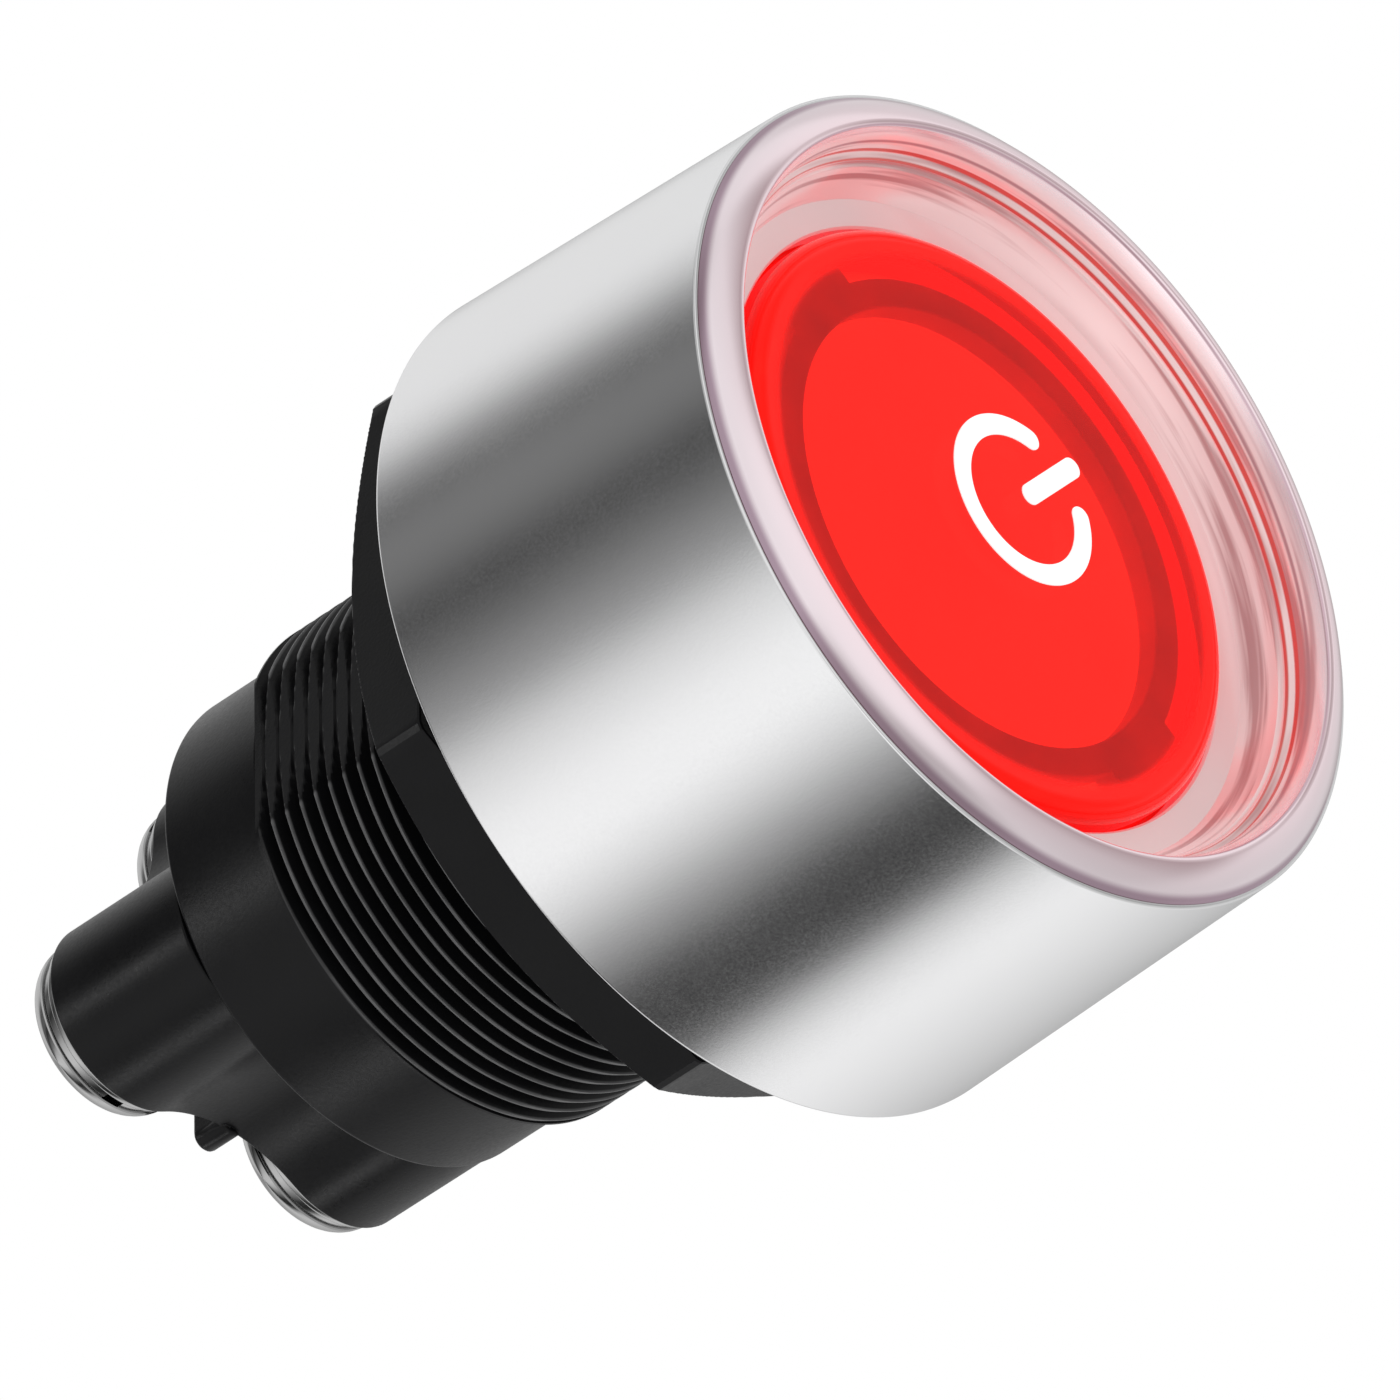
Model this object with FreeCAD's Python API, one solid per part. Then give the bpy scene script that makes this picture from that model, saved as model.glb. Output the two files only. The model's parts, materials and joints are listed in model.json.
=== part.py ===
"""Illuminated push button for a round panel hole, with three screw terminals.

Units are millimetres. The origin is the centre of the bezel's rear rim, which is the
face that the front of the panel touches. +Z points out of the panel, towards the
finger, and +X is the reading direction of the legend.
"""
import FreeCAD, Part
import math
import os

from FreeCAD import Vector

# ---- driving dimensions -------------------------------------------------------------
BEZEL_R = 18.0              # outer radius of the bezel at the panel
BEZEL_TAPER = 1.8           # degrees by which the sleeve narrows towards the front
SLEEVE_TOP = 17.0           # front end of the sleeve, where the rolled lip begins
SLEEVE_BORE_R = 17.1        # straight bore of the sleeve
CLOCKING = 12.0             # degrees from +X to the first terminal and nut corner

LIP_CROWN_Z = 17.95         # where the rolled lip turns inwards
FLOOR_Z = 14.55             # flat floor around the cap
FLOOR_THICKNESS = 1.0

CAP_R = 12.75
CAP_TOP_Z = 15.35
CAP_WALL = 1.2
CAP_EDGE_R = 0.75           # rounding of the cap's rim
CAP_GAP = 0.2               # radial gap between the cap and the trim ring
CAP_FLANGE_R = 13.6         # stop flange around the cap, under the trim ring
CAP_FLANGE_THICKNESS = 1.2
LEGEND_CENTRE_Y = 2.5
LEGEND_R = 3.7
LEGEND_STROKE = 0.9
LENS_RING_R = 10.7
LENS_RING_BORE_R = 9.45
LENS_EAR_R = 11.45
LENS_EAR_WIDTH = 5.0
LENS_EAR_ANGLE = CLOCKING - 7.0
LENS_RING_THICKNESS = 1.0
DIFFUSER_THICKNESS = 0.8
TRAVEL = 2.5                # full stroke of the button

THREAD_R = 11.0             # major radius, for a 22 mm panel hole
THREAD_ROOT_R = 10.3
THREAD_PITCH = 0.8
THREAD_END_Z = -14.7
FLAT_DISTANCE = 10.36       # from the axis to the flat cut along the thread
BARREL_R = 10.35
BARREL_BORE_R = 9.0
BARREL_END_Z = -19.9
CUP_WALL = 1.45             # wall of the cup inside the bezel
FLANGE_BOTTOM_Z = 0.9
FLANGE_TOP_Z = 2.4
GASKET_R = 16.8

WASHER_R = 16.3             # key washer under the nut
WASHER_TOP_Z = -0.2
WASHER_THICKNESS = 0.8
NUT_TOP_Z = -1.05
NUT_BOTTOM_Z = -4.7
NUT_ACROSS_FLATS = 29.44
THREAD_CLEARANCE = 0.08     # radial, between the nut or the key washer and the thread

BASE_END_Z = -27.2
BOSS_R = 4.03               # round boss around each terminal
BOSS_CENTRE_R = 6.35
FILLET_R = 7.09             # concave fillet between two bosses
BARRIER_END_Z = -28.6
BARRIER_R = 6.0
BARRIER_THICKNESS = 1.2

FIT = 0.05                  # running or assembly clearance, radial
PLUNGER_R = BARREL_BORE_R - FIT
PLUNGER_BORE_R = 7.2
PLUNGER_HEAD_TOP_Z = 9.4
PLUNGER_HEAD_BOTTOM_Z = 8.0
PLUNGER_SHOULDER_Z = -9.0
STEM_R = 6.4
STEM_BORE_R = 4.9
STEM_END_Z = -14.0

BRIDGE_TOP_Z = -12.5
BRIDGE_THICKNESS = 0.8
BRIDGE_TRAVEL_RATIO = 0.8   # the bridge stops at 80 % of the stroke
CONTACT_R = 0.7
CONTACT_CENTRE_R = 7.75
CONTACT_HEIGHT = 0.7
CLOSED_GAP = 0.05           # left between the contact tips at full stroke
BRIDGE_R = 8.5
CLIP_R = 6.95
CLIP_THICKNESS = 0.4
CLIP_OPENING = 2.0
ORING_R = 8.43              # centre circle of the plunger's seal
ORING_SECTION_R = 0.45
ORING_GROOVE = (-2.0, -3.2, 7.95)  # top, bottom and radius of its groove
RETURN_SPRING = (10.25, 0.4, 3)    # mean radius, wire radius, turns
OVERTRAVEL_SPRING = (7.5, 0.35, 2.5)

SPIGOT_TOP_Z = -17.5
STRIP_THICKNESS = 0.5
STRIP_WIDTH = 2.0
LAMP_POST_R = 4.0
LAMP_POST_BORE_R = 2.6
LAMP_BOARD_Z = 7.0          # underside of the lamp board
LAMP_BOARD_R = 6.2
LAMP_BOARD_THICKNESS = 1.0
CHIP_SIZE = (1.6, 2.4, 0.8)  # radial length, width and height of a lamp chip
CHIP_START_R = 3.6
RESISTOR_SIZE = (1.1, 2.0, 0.6)
RESISTOR_START_R = 4.4
LEAD_R = 0.4                # lamp lead
LEAD_BEND_R = 1.2
LEAD_AXIS_R = 1.3
LEAD_DROP = 0.9             # from the top of the spigot down to the lead's level run
LEAD_SLOT = (1.4, 1.6)      # width and depth of the leads' slots in the base

SCREW_R = 2.0               # M4 terminal screws
SCREW_HEAD_R = 3.7
SCREW_HEAD_HEIGHT = 1.43
SCREW_POINT = 0.3           # chamfer at the tip of the screw
CROSS_SLOT = 0.7            # width of the cross recess
CROSS_SIZE = (3.0, 1.0)     # its span and depth
CROSS_TURNS = (40, 130)     # degrees from +X to its two slots
INSERT_R = 2.9
INSERT_TOP_Z = -21.5
FLAT_WASHER_R = 3.85
FLAT_WASHER_THICKNESS = 0.36
SPRING_WASHER_R = 3.6
SPRING_WASHER_THICKNESS = 0.46
SPRING_WASHER_GAP = 0.7
WASHER_HOLE_R = SCREW_R + 0.15
SCREW_HEAD_TOP_Z = BASE_END_Z - FLAT_WASHER_THICKNESS - SPRING_WASHER_THICKNESS
POST_HOLE_R = 1.2
TERMINALS = [CLOCKING, CLOCKING + 120.0, CLOCKING + 240.0]
FLAT_ANGLE = CLOCKING + 210.0
LAMP_TERMINAL = 1           # index of the terminal that feeds the lamp
SWITCH_TERMINALS = [0, 2]

UP = Vector(0, 0, 1)
ORIGIN = Vector(0, 0, 0)


# ---- helpers ------------------------------------------------------------------------
def polar(radius, degrees, z=0.0):
    angle = math.radians(degrees)
    return Vector(radius * math.cos(angle), radius * math.sin(angle), z)


def disc(radius, bottom, top, centre=ORIGIN):
    return Part.makeCylinder(radius, top - bottom, centre + Vector(0, 0, bottom))


def ring(outer, inner, bottom, top, centre=ORIGIN):
    return disc(outer, bottom, top, centre).cut(disc(inner, bottom, top, centre))


def lathe(outline):
    """Solid of revolution about Z from a closed outline of (radius, z) points.

    A step that is a triple ("arc", through, end) is a circular arc.
    """
    edges = []
    here = outline[0]
    for step in outline[1:] + [outline[0]]:
        start = Vector(here[0], 0, here[1])
        if step[0] == "arc":
            through, end = step[1], step[2]
            arc = Part.Arc(start, Vector(through[0], 0, through[1]), Vector(end[0], 0, end[1]))
            edges.append(arc.toShape())
            here = end
        else:
            edges.append(Part.LineSegment(start, Vector(step[0], 0, step[1])).toShape())
            here = step
    face = Part.Face(Part.Wire(edges))
    return face.revolve(ORIGIN, UP, 360)


def block(length, width, bottom, top, start, degrees):
    """Straight bar that runs outwards from radius start along the given direction."""
    bar = Part.makeBox(length, width, top - bottom, Vector(start, -width / 2, bottom))
    bar.rotate(ORIGIN, UP, degrees)
    return bar


def coil(mean_radius, wire_radius, bottom, top, turns):
    """Compression spring of half turns, each one half a torus in a slightly tilted plane."""
    half_turns = int(2 * turns)
    rise = (top - bottom - 2 * wire_radius) / half_turns
    pieces = []
    for i in range(half_turns):
        side = 1 - 2 * (i % 2)
        level = bottom + wire_radius + i * rise
        start = Vector(side * mean_radius, 0, level)
        end = Vector(-side * mean_radius, 0, level + rise)
        centre = (start + end) / 2
        axis = (start - centre).cross(Vector(0, side, 0))
        section = Part.Wire(Part.Circle(start, Vector(0, 1, 0), wire_radius).toShape())
        pieces.append(Part.Face(section).revolve(centre, axis, 180))
    return pieces[0].multiFuse(pieces[1:])


def export(name, shape):
    shape.exportStep("parts/" + name + ".step")


# ---- bezel --------------------------------------------------------------------------
def bezel_sleeve():
    front_r = BEZEL_R - SLEEVE_TOP * math.tan(math.radians(BEZEL_TAPER))
    return lathe([
        (SLEEVE_BORE_R, 0), (BEZEL_R, 0), (front_r, SLEEVE_TOP), (SLEEVE_BORE_R, SLEEVE_TOP),
    ])


def trim_ring():
    """Rolled lip, two sharp steps, a concave bowl and a flat floor with a round hole."""
    skirt_r = SLEEVE_BORE_R - FIT
    underside = FLOOR_Z - FLOOR_THICKNESS
    lip_foot = SLEEVE_TOP + 0.02
    return lathe([
        (skirt_r, underside),
        (skirt_r, lip_foot),
        (17.3, lip_foot),
        ("arc", (16.75, 17.55), (15.98, LIP_CROWN_Z)),
        ("arc", (15.78, 17.94), (15.64, 17.8)),
        (15.32, 16.99),
        (15.3, 16.46),
        (15.05, 16.3),
        (15.05, 16.14),
        ("arc", (14.99, 16.01), (14.9, 15.92)),
        ("arc", (14.6, 15.2), (14.2, FLOOR_Z)),
        (CAP_R + CAP_GAP, FLOOR_Z),
        (CAP_R + CAP_GAP, underside),
    ])


# ---- body behind the bezel ----------------------------------------------------------
def threaded_neck():
    """External thread as equal ridges, one per pitch, with the flat cut along it."""
    ridges = int((FLANGE_BOTTOM_Z - THREAD_END_Z) / THREAD_PITCH)
    crest = THREAD_PITCH / 16
    outline = [(BARREL_BORE_R, THREAD_END_Z), (THREAD_ROOT_R, THREAD_END_Z)]
    for turn in range(ridges):
        middle = THREAD_END_Z + THREAD_PITCH * (turn + 0.5)
        outline.append((THREAD_R, middle - crest))
        outline.append((THREAD_R, middle + crest))
        outline.append((THREAD_ROOT_R, middle + THREAD_PITCH / 2))
    outline.append((THREAD_ROOT_R, FLANGE_BOTTOM_Z))
    outline.append((BARREL_BORE_R, FLANGE_BOTTOM_Z))
    flat = Part.makeBox(THREAD_R, 2 * THREAD_R, FLANGE_BOTTOM_Z - THREAD_END_Z,
                        Vector(FLAT_DISTANCE, -THREAD_R, THREAD_END_Z))
    flat.rotate(ORIGIN, UP, FLAT_ANGLE)
    return lathe(outline).cut(flat)


def barrel():
    """Moulded body: cup inside the bezel, flange, threaded neck and plain lower barrel."""
    cup_r = SLEEVE_BORE_R - FIT
    cup_top = FLOOR_Z - FLOOR_THICKNESS - FIT
    flange = ring(cup_r, BARREL_BORE_R, FLANGE_BOTTOM_Z, FLANGE_TOP_Z)
    cup = ring(cup_r, cup_r - CUP_WALL, FLANGE_TOP_Z, cup_top)
    lower = ring(BARREL_R, BARREL_BORE_R, BARREL_END_Z, THREAD_END_Z)
    return flange.multiFuse([cup, threaded_neck(), lower]).removeSplitter()


def panel_gasket():
    return ring(GASKET_R, THREAD_R + 0.3, 0.1, FLANGE_BOTTOM_Z)


def key_washer():
    """Flat washer whose D hole follows the flat, so that it slides but can't turn."""
    bottom = WASHER_TOP_Z - WASHER_THICKNESS
    hole_r = THREAD_R + THREAD_CLEARANCE
    hole = disc(hole_r, bottom, WASHER_TOP_Z)
    chord = Part.makeBox(hole_r, 2 * hole_r, WASHER_THICKNESS,
                         Vector(FLAT_DISTANCE + THREAD_CLEARANCE, -hole_r, bottom))
    chord.rotate(ORIGIN, UP, FLAT_ANGLE)
    return disc(WASHER_R, bottom, WASHER_TOP_Z).cut(hole.cut(chord))


def hex_nut():
    """Hexagon with softened corners and a 30 degree chamfer on its rear face."""
    apothem = NUT_ACROSS_FLATS / 2
    corner_r = apothem / math.cos(math.radians(30))
    corners = [polar(corner_r, CLOCKING + 60 * i, NUT_BOTTOM_Z) for i in range(7)]
    height = NUT_TOP_Z - NUT_BOTTOM_Z
    body = Part.Face(Part.makePolygon(corners)).extrude(Vector(0, 0, height))
    softened_r = corner_r - 0.1
    chamfer_top = NUT_BOTTOM_Z + (softened_r - apothem) * math.tan(math.radians(30))
    envelope = lathe([
        (THREAD_R + THREAD_CLEARANCE, NUT_BOTTOM_Z),
        (apothem, NUT_BOTTOM_Z),
        (softened_r, chamfer_top),
        (softened_r, NUT_TOP_Z),
        (THREAD_R + THREAD_CLEARANCE, NUT_TOP_Z),
    ])
    return body.common(envelope)


# ---- terminal base ------------------------------------------------------------------
def lobed_outline():
    """Three round bosses joined by concave fillets, as one closed wire at z = 0."""
    half = math.radians(60)
    reach = BOSS_R + FILLET_R
    fillet_centre_r = BOSS_CENTRE_R * math.cos(half)
    fillet_centre_r += math.sqrt(reach ** 2 - (BOSS_CENTRE_R * math.sin(half)) ** 2)
    edges = []
    for angle in TERMINALS:
        boss = polar(BOSS_CENTRE_R, angle)
        before = polar(fillet_centre_r, angle - 60)
        after = polar(fillet_centre_r, angle + 60)
        following = polar(BOSS_CENTRE_R, angle + 120)
        start = boss + (before - boss) * (BOSS_R / reach)
        end = boss + (after - boss) * (BOSS_R / reach)
        next_start = following + (after - following) * (BOSS_R / reach)
        edges.append(Part.Arc(start, polar(BOSS_CENTRE_R + BOSS_R, angle), end).toShape())
        waist = polar(fillet_centre_r - FILLET_R, angle + 60)
        edges.append(Part.Arc(end, waist, next_start).toShape())
    return Part.Wire(edges)


def terminal_base():
    """Lobed block with a spigot in the barrel, insert holes and the barrier below."""
    top = BARREL_END_Z - FIT
    lobes = Part.Face(lobed_outline()).extrude(Vector(0, 0, top - BASE_END_Z))
    lobes.translate(Vector(0, 0, BASE_END_Z))
    solids = [disc(PLUNGER_R, top, SPIGOT_TOP_Z)]
    for angle in TERMINALS:
        arm_length = BARRIER_R - BARRIER_THICKNESS / 2
        solids.append(block(arm_length, BARRIER_THICKNESS, BARRIER_END_Z, BASE_END_Z, 0, angle + 60))
        solids.append(disc(BARRIER_THICKNESS / 2, BARRIER_END_Z, BASE_END_Z,
                           polar(arm_length, angle + 60)))
    base = lobes.multiFuse(solids).removeSplitter()
    for angle in TERMINALS:
        centre = polar(BOSS_CENTRE_R, angle)
        base = base.cut(disc(INSERT_R + FIT, BASE_END_Z, INSERT_TOP_Z, centre))
        base = base.cut(disc(POST_HOLE_R, INSERT_TOP_Z, SPIGOT_TOP_Z, centre))
    for index in (LAMP_TERMINAL, SWITCH_TERMINALS[0]):
        width, depth = LEAD_SLOT
        slot_bottom = SPIGOT_TOP_Z - depth
        base = base.cut(block(BOSS_CENTRE_R, width, slot_bottom, SPIGOT_TOP_Z, 0, TERMINALS[index]))
    return base


def terminal_insert(angle):
    """Threaded brass insert that the terminal screw turns into."""
    centre = polar(BOSS_CENTRE_R, angle)
    return ring(INSERT_R, SCREW_R + FIT, BASE_END_Z, INSERT_TOP_Z, centre)


def flat_washer(angle):
    return ring(FLAT_WASHER_R, WASHER_HOLE_R, BASE_END_Z - FLAT_WASHER_THICKNESS, BASE_END_Z,
                polar(BOSS_CENTRE_R, angle))


def spring_washer(angle):
    """Split lock washer, with its gap turned away from the axis."""
    centre = polar(BOSS_CENTRE_R, angle)
    top = BASE_END_Z - FLAT_WASHER_THICKNESS
    washer = ring(SPRING_WASHER_R, WASHER_HOLE_R, SCREW_HEAD_TOP_Z, top, centre)
    gap = block(SPRING_WASHER_R, SPRING_WASHER_GAP, SCREW_HEAD_TOP_Z, top, 0, angle + 60)
    gap.translate(centre)
    return washer.cut(gap)


def terminal_screw(angle):
    """M4 pan-head screw with a cross recess, pointing up into the base."""
    top = SCREW_HEAD_TOP_Z
    tip = INSERT_TOP_Z - SCREW_POINT
    screw = lathe([
        (0, tip),
        (SCREW_R - SCREW_POINT, tip),
        (SCREW_R, tip - SCREW_POINT),
        (SCREW_R, top),
        (SCREW_HEAD_R, top),
        ("arc", (3.45, top - 0.62), (2.5, top - 1.1)),
        ("arc", (1.3, top - 1.35), (0, top - SCREW_HEAD_HEIGHT)),
    ])
    length, depth = CROSS_SIZE
    low = top - SCREW_HEAD_HEIGHT - FIT
    for turn in CROSS_TURNS:
        slot = Part.makeBox(length, CROSS_SLOT, depth, Vector(-length / 2, -CROSS_SLOT / 2, low))
        slot.rotate(ORIGIN, UP, turn)
        screw = screw.cut(slot)
    screw.translate(polar(BOSS_CENTRE_R, angle))
    return screw


# ---- fixed contacts -----------------------------------------------------------------
STRIP_TOP_Z = SPIGOT_TOP_Z + STRIP_THICKNESS
BRIDGE_BOTTOM_Z = BRIDGE_TOP_Z - BRIDGE_THICKNESS
BRIDGE_TIP_Z = BRIDGE_BOTTOM_Z - CONTACT_HEIGHT
FIXED_TIP_Z = BRIDGE_TIP_Z - BRIDGE_TRAVEL_RATIO * TRAVEL - CLOSED_GAP


def contact_strip(angle):
    """Stamped strip: a post up from the insert, then a pad beside the plunger's stem."""
    post = disc(POST_HOLE_R - FIT, INSERT_TOP_Z, STRIP_TOP_Z, polar(BOSS_CENTRE_R, angle))
    length = PLUNGER_R - BOSS_CENTRE_R - 0.3
    pad = block(length, STRIP_WIDTH, SPIGOT_TOP_Z, STRIP_TOP_Z, BOSS_CENTRE_R, angle)
    return post.fuse(pad).removeSplitter()


def lamp_strip():
    """Post that feeds the lamp from its own terminal."""
    return disc(POST_HOLE_R - FIT, INSERT_TOP_Z, SPIGOT_TOP_Z,
                polar(BOSS_CENTRE_R, TERMINALS[LAMP_TERMINAL]))


def fixed_contact_tip(angle):
    return disc(CONTACT_R, STRIP_TOP_Z, FIXED_TIP_Z, polar(CONTACT_CENTRE_R, angle))


# ---- lamp ---------------------------------------------------------------------------
def lamp_post():
    return ring(LAMP_POST_R, LAMP_POST_BORE_R, SPIGOT_TOP_Z, LAMP_BOARD_Z)


def lamp_board():
    return disc(LAMP_BOARD_R, LAMP_BOARD_Z, LAMP_BOARD_Z + LAMP_BOARD_THICKNESS)


def lamp_chips():
    """Six surface-mounted lamps in a circle on the board."""
    top = LAMP_BOARD_Z + LAMP_BOARD_THICKNESS
    length, width, height = CHIP_SIZE
    chips = []
    for i in range(6):
        chips.append(block(length, width, top, top + height, CHIP_START_R, CLOCKING + 60 * i))
    return Part.makeCompound(chips)


def lamp_resistor():
    length, width, height = RESISTOR_SIZE
    bottom = LAMP_BOARD_Z - height
    return block(length, width, bottom, LAMP_BOARD_Z, RESISTOR_START_R, CLOCKING + 60)


def lamp_lead(index):
    """Round wire: down the lamp post, then through a slot to the terminal's post."""
    level = SPIGOT_TOP_Z - LEAD_DROP
    corner = Vector(LEAD_AXIS_R, 0, level)
    down_end = corner + Vector(0, 0, LEAD_BEND_R)
    out_start = corner + Vector(LEAD_BEND_R, 0, 0)
    inset = LEAD_BEND_R * (1 - math.sqrt(0.5))
    middle = corner + Vector(inset, 0, inset)
    start = Vector(LEAD_AXIS_R, 0, LAMP_BOARD_Z)
    end_r = BOSS_CENTRE_R - POST_HOLE_R
    path = Part.Wire([
        Part.LineSegment(start, down_end).toShape(),
        Part.Arc(down_end, middle, out_start).toShape(),
        Part.LineSegment(out_start, Vector(end_r, 0, level)).toShape(),
    ])
    section = Part.Wire(Part.Circle(start, UP, LEAD_R).toShape())
    lead = path.makePipeShell([section], True, True)
    lead.rotate(ORIGIN, UP, TERMINALS[index])
    return lead


# ---- button -------------------------------------------------------------------------
def lens_cap():
    """Cup with a rounded rim and a flange that stops under the trim ring's floor."""
    flange_top = FLOOR_Z - FLOOR_THICKNESS - 0.3
    flange_bottom = flange_top - CAP_FLANGE_THICKNESS
    inner_r = CAP_R - CAP_WALL
    inset = CAP_EDGE_R * (1 - math.sqrt(0.5))
    return lathe([
        (0, CAP_TOP_Z),
        (CAP_R - CAP_EDGE_R, CAP_TOP_Z),
        ("arc", (CAP_R - inset, CAP_TOP_Z - inset), (CAP_R, CAP_TOP_Z - CAP_EDGE_R)),
        (CAP_R, flange_top),
        (CAP_FLANGE_R, flange_top),
        (CAP_FLANGE_R, flange_bottom),
        (CAP_R, flange_bottom),
        (CAP_R, PLUNGER_HEAD_BOTTOM_Z),
        (inner_r, PLUNGER_HEAD_BOTTOM_Z),
        (inner_r, CAP_TOP_Z - CAP_WALL),
        (0, CAP_TOP_Z - CAP_WALL),
    ])


def legend():
    """Generic power symbol: an open ring with a bar in its gap, printed on the cap."""
    bottom, top = CAP_TOP_Z, CAP_TOP_Z + 0.06
    symbol = ring(LEGEND_R, LEGEND_R - LEGEND_STROKE, bottom, top)
    gap = block(LEGEND_R, 3 * LEGEND_STROKE, bottom, top, 0, 90)
    bar = block(LEGEND_R + 0.6, LEGEND_STROKE, bottom, top, 0.2, 90)
    symbol = Part.makeCompound([symbol.cut(gap), bar])
    symbol.translate(Vector(0, LEGEND_CENTRE_Y, 0))
    return symbol


def lens_ring():
    """Ring under the cap with two bayonet ears."""
    top = CAP_TOP_Z - CAP_WALL - FIT
    bottom = top - LENS_RING_THICKNESS
    ears = ring(LENS_EAR_R, LENS_RING_BORE_R, bottom, top)
    keep = block(2 * LENS_EAR_R, LENS_EAR_WIDTH, bottom, top, -LENS_EAR_R, LENS_EAR_ANGLE)
    band = ring(LENS_RING_R, LENS_RING_BORE_R, bottom, top)
    return band.fuse(ears.common(keep)).removeSplitter()


def diffuser():
    top = CAP_TOP_Z - CAP_WALL - FIT - LENS_RING_THICKNESS
    return disc(CAP_R - CAP_WALL - FIT, top - DIFFUSER_THICKNESS, top)


def plunger():
    """Head inside the cap, guide tube in the barrel and a stem through the bridge."""
    groove_top, groove_bottom, groove_r = ORING_GROOVE
    return lathe([
        (PLUNGER_BORE_R, PLUNGER_HEAD_TOP_Z),
        (CAP_R - CAP_WALL - FIT, PLUNGER_HEAD_TOP_Z),
        (CAP_R - CAP_WALL - FIT, PLUNGER_HEAD_BOTTOM_Z),
        (PLUNGER_R, PLUNGER_HEAD_BOTTOM_Z),
        (PLUNGER_R, groove_top),
        (groove_r, groove_top),
        (groove_r, groove_bottom),
        (PLUNGER_R, groove_bottom),
        (PLUNGER_R, PLUNGER_SHOULDER_Z),
        (STEM_R, PLUNGER_SHOULDER_Z),
        (STEM_R, STEM_END_Z),
        (STEM_BORE_R, STEM_END_Z),
        (STEM_BORE_R, PLUNGER_SHOULDER_Z + 1.5),
        (PLUNGER_BORE_R, PLUNGER_SHOULDER_Z + 1.5),
    ])


def plunger_oring():
    middle = (ORING_GROOVE[0] + ORING_GROOVE[1]) / 2
    return Part.makeTorus(ORING_R, ORING_SECTION_R, Vector(0, 0, middle))


def bridge_clip():
    """Open clip on the stem that holds the bridge against the overtravel spring."""
    top = BRIDGE_BOTTOM_Z - 0.1
    bottom = top - CLIP_THICKNESS
    clip = ring(CLIP_R, STEM_R + FIT / 2, bottom, top)
    return clip.cut(block(CLIP_R, CLIP_OPENING, bottom, top, 0, FLAT_ANGLE))


# ---- moving contact -----------------------------------------------------------------
def contact_bridge():
    return ring(BRIDGE_R, STEM_R + 2 * FIT, BRIDGE_BOTTOM_Z, BRIDGE_TOP_Z)


def bridge_tips():
    tips = []
    for index in SWITCH_TERMINALS:
        centre = polar(CONTACT_CENTRE_R, TERMINALS[index])
        tips.append(disc(CONTACT_R, BRIDGE_TIP_Z, BRIDGE_BOTTOM_Z, centre))
    return Part.makeCompound(tips)


def return_spring():
    mean_radius, wire_radius, turns = RETURN_SPRING
    return coil(mean_radius, wire_radius, FLANGE_TOP_Z, PLUNGER_HEAD_BOTTOM_Z, turns)


def overtravel_spring():
    mean_radius, wire_radius, turns = OVERTRAVEL_SPRING
    return coil(mean_radius, wire_radius, BRIDGE_TOP_Z, PLUNGER_SHOULDER_Z, turns)


# ---- write every piece --------------------------------------------------------------
os.makedirs("parts", exist_ok=True)
SINGLE_PIECES = [
    bezel_sleeve, trim_ring, barrel, panel_gasket, key_washer, hex_nut, terminal_base,
    lamp_strip, lamp_post, lamp_board, lamp_chips, lamp_resistor, lens_cap, legend, lens_ring,
    diffuser, plunger, plunger_oring, bridge_clip, contact_bridge, bridge_tips, return_spring,
    overtravel_spring,
]
for piece in SINGLE_PIECES:
    export(piece.__name__, piece())
for piece in (terminal_insert, flat_washer, spring_washer, terminal_screw):
    for number, terminal_angle in enumerate(TERMINALS, start=1):
        export(piece.__name__ + "_" + str(number), piece(terminal_angle))
for number, terminal in enumerate(SWITCH_TERMINALS, start=1):
    export("contact_strip_" + str(number), contact_strip(TERMINALS[terminal]))
    export("fixed_contact_tip_" + str(number), fixed_contact_tip(TERMINALS[terminal]))
for number, terminal in enumerate((LAMP_TERMINAL, SWITCH_TERMINALS[0]), start=1):
    export("lamp_lead_" + str(number), lamp_lead(terminal))
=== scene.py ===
"""Looks of the illuminated push button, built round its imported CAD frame.

Helpers and outlines work in millimetres; a mesh is scaled to metres when it is made. The
frame's origin is the centre of the bezel's rear rim and +Z points towards the finger.
"""

import json
import math

import bmesh
import bpy
from mathutils import Matrix, Vector

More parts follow.
